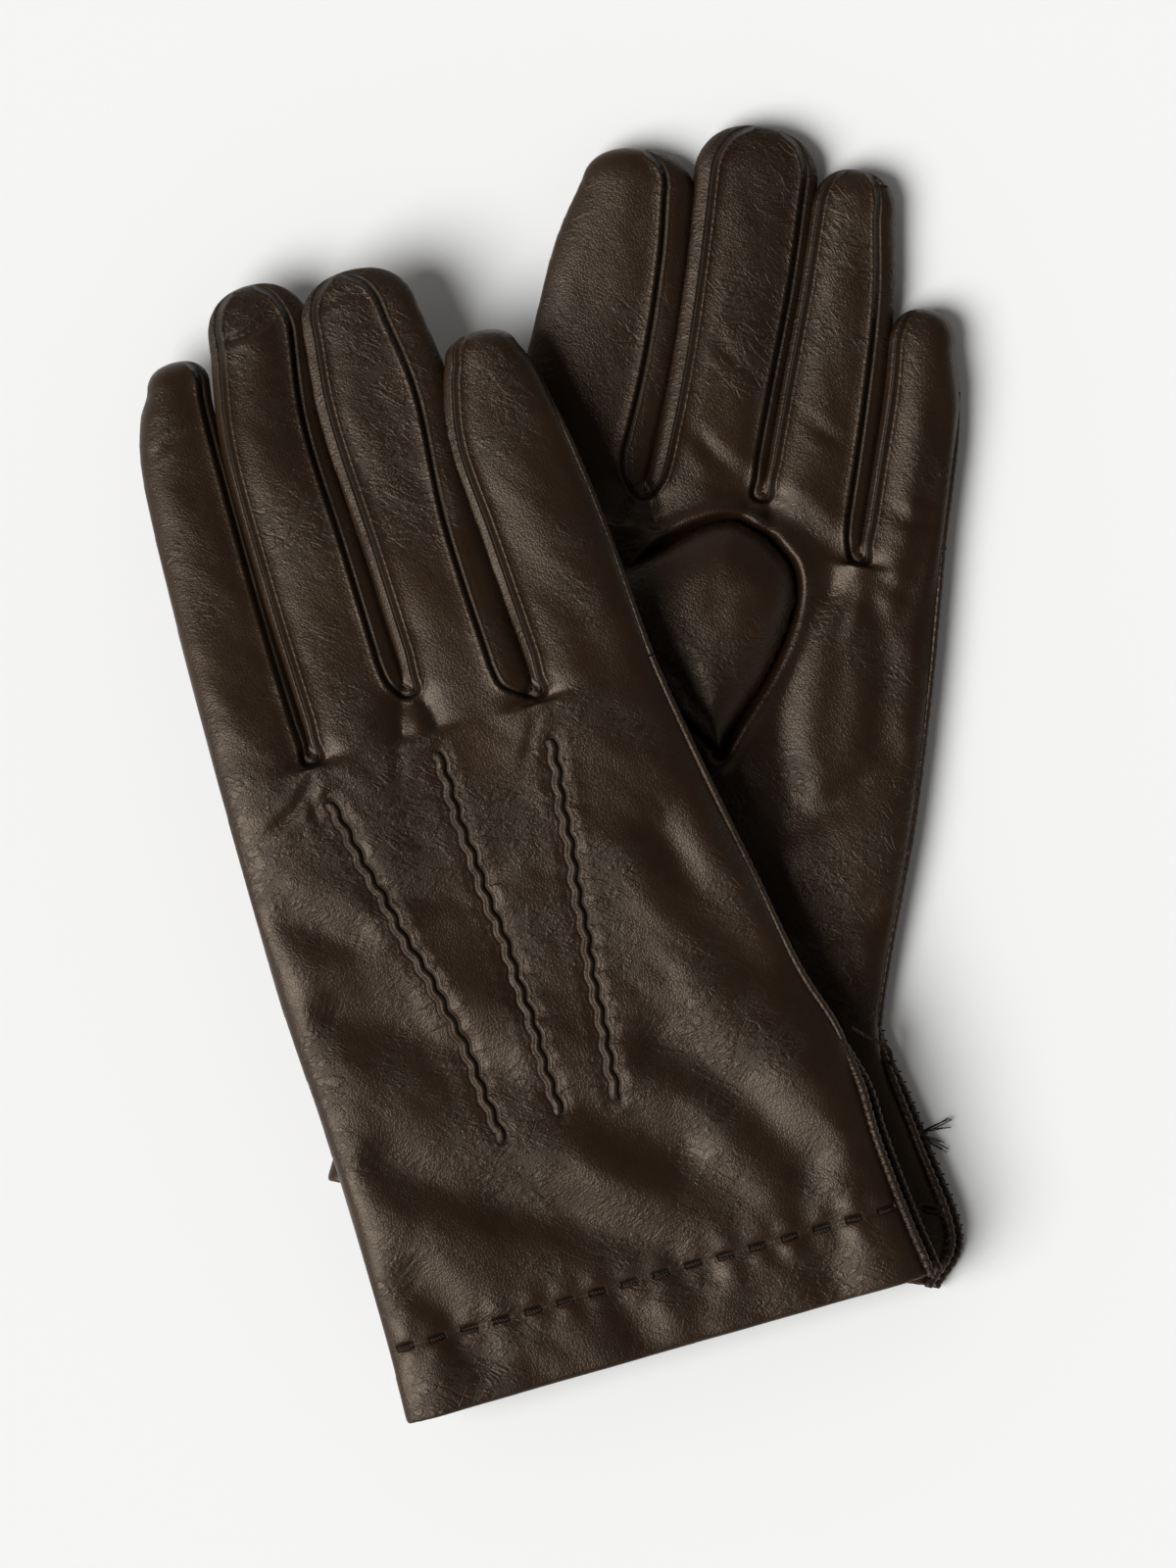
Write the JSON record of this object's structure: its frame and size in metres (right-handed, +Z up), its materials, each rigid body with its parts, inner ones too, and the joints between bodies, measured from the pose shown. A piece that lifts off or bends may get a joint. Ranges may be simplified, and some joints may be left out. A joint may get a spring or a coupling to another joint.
{
  "type": "pair of leather gloves",
  "caption": "Pair of lined leather dress gloves laid one on the other, palm and back up, with sewn points, hem stitching and a thread tack at the cuffs.",
  "frame": {"origin": "on the surface that the lower glove lies on, below the middle of the pair's bounding box", "axes": "+Z up from the surface, +Y from the cuffs towards the fingers, +X from the index-finger side of the upper glove towards the little-finger side of the lower glove"},
  "size_m": [0.1838, 0.2908, 0.0322],
  "materials": {
    "glove_leather": "satin dark brown nappa leather with fine grain",
    "leather_trim": "satin dark brown leather, sewn ridges and bound edges",
    "knitted_lining": "matt fine-knit lining, dark brown",
    "sewing_thread": "twisted dark brown sewing thread"
  },
  "bodies": {
    "left_hand": {"left_back": "glove_leather", "left_palm": "glove_leather", "left_side_seam": "leather_trim", "left_hand_lining": "knitted_lining", "left_hem_stitches": "sewing_thread", "left_vent_binding": "leather_trim", "left_point_index": "leather_trim", "left_point_middle": "leather_trim", "left_point_ring": "leather_trim", "left_index": "glove_leather", "left_index_lining": "knitted_lining", "left_index_fourchettes": "glove_leather"},
    "left_index_tip": {"left_index_tip": "glove_leather", "left_index_tip_lining": "knitted_lining", "left_index_tip_fourchettes": "glove_leather"},
    "left_middle": {"left_middle": "glove_leather", "left_middle_lining": "knitted_lining", "left_middle_fourchettes": "glove_leather"},
    "left_ring": {"left_ring": "glove_leather", "left_ring_lining": "knitted_lining", "left_ring_fourchettes": "glove_leather"},
    "left_little": {"left_little": "glove_leather", "left_little_lining": "knitted_lining", "left_little_fourchettes": "glove_leather"},
    "left_thumb": {"left_thumb": "glove_leather", "left_thumb_lining": "knitted_lining"},
    "right_hand": {"right_back": "glove_leather", "right_palm": "glove_leather", "right_side_seam": "leather_trim", "right_hand_lining": "knitted_lining", "right_hem_stitches": "sewing_thread", "right_vent_binding": "leather_trim", "right_point_index": "leather_trim", "right_point_middle": "leather_trim", "right_point_ring": "leather_trim"},
    "right_index": {"right_index": "glove_leather", "right_index_lining": "knitted_lining", "right_index_fourchettes": "glove_leather"},
    "right_middle": {"right_middle": "glove_leather", "right_middle_lining": "knitted_lining", "right_middle_fourchettes": "glove_leather"},
    "right_ring": {"right_ring": "glove_leather", "right_ring_lining": "knitted_lining", "right_ring_fourchettes": "glove_leather"},
    "right_little": {"right_little": "glove_leather", "right_little_lining": "knitted_lining", "right_little_fourchettes": "glove_leather"},
    "right_thumb": {"right_thumb": "glove_leather", "right_thumb_lining": "knitted_lining"},
    "tack": {"tack_thread": "sewing_thread", "tack_knot": "sewing_thread"}
  },
  "joints": [
    {"name": "pair_swivel", "type": "hinge", "parent": "left_hand", "child": "tack", "pos_m": [0.068, -0.058, 0.012], "axis": [0, 0, 1], "range_deg": [0, 15]},
    {"name": "pair_open", "type": "hinge", "parent": "tack", "child": "right_hand", "pos_m": [0.06669, -0.05845, 0.01487], "axis": [-0.4061, 0.9112, 0.0691], "range_deg": [0, 35]},
    {"name": "left_index_bend", "type": "hinge", "parent": "left_hand", "child": "left_index_tip", "pos_m": [0.01005, 0.1016, 0.01], "axis": [0.9848, -0.1736, 0], "range_deg": [0, 40]},
    {"name": "left_middle_bend", "type": "hinge", "parent": "left_hand", "child": "left_middle", "pos_m": [0.03231, 0.0603, 0.01], "axis": [0.9873, -0.1588, 0], "range_deg": [0, 45]},
    {"name": "left_ring_bend", "type": "hinge", "parent": "left_hand", "child": "left_ring", "pos_m": [0.05615, 0.0561, 0.01], "axis": [0.9886, -0.1504, 0], "range_deg": [0, 45]},
    {"name": "left_little_bend", "type": "hinge", "parent": "left_hand", "child": "left_little", "pos_m": [0.07761, 0.05231, 0.01], "axis": [0.9914, -0.1308, 0], "range_deg": [0, 45]},
    {"name": "right_index_bend", "type": "hinge", "parent": "right_hand", "child": "right_index", "pos_m": [-0.06435, 0.00129, 0.03184], "axis": [0.9685, 0.2491, -0.0019], "range_deg": [0, 35]},
    {"name": "right_middle_bend", "type": "hinge", "parent": "right_hand", "child": "right_middle", "pos_m": [-0.04224, 0.00763, 0.03184], "axis": [0.9693, 0.2459, -0.0022], "range_deg": [0, 35]},
    {"name": "right_ring_bend", "type": "hinge", "parent": "right_hand", "child": "right_ring", "pos_m": [-0.01801, 0.01458, 0.03184], "axis": [0.964, 0.266, -0.0007], "range_deg": [0, 35]},
    {"name": "right_little_bend", "type": "hinge", "parent": "right_hand", "child": "right_little", "pos_m": [0.00948, 0.02246, 0.03184], "axis": [0.9482, 0.3175, 0.0031], "range_deg": [0, 35]},
    {"name": "left_thumb_swing", "type": "hinge", "parent": "left_hand", "child": "left_thumb", "pos_m": [0.03428, 0.03863, 0.0145], "axis": [0, 0, 1], "range_deg": [0, 12]},
    {"name": "right_thumb_swing", "type": "hinge", "parent": "right_hand", "child": "right_thumb", "pos_m": [-0.05239, -0.02118, 0.01516], "axis": [0.0192, -0.0671, 0.9976], "range_deg": [0, 40]}
  ]
}
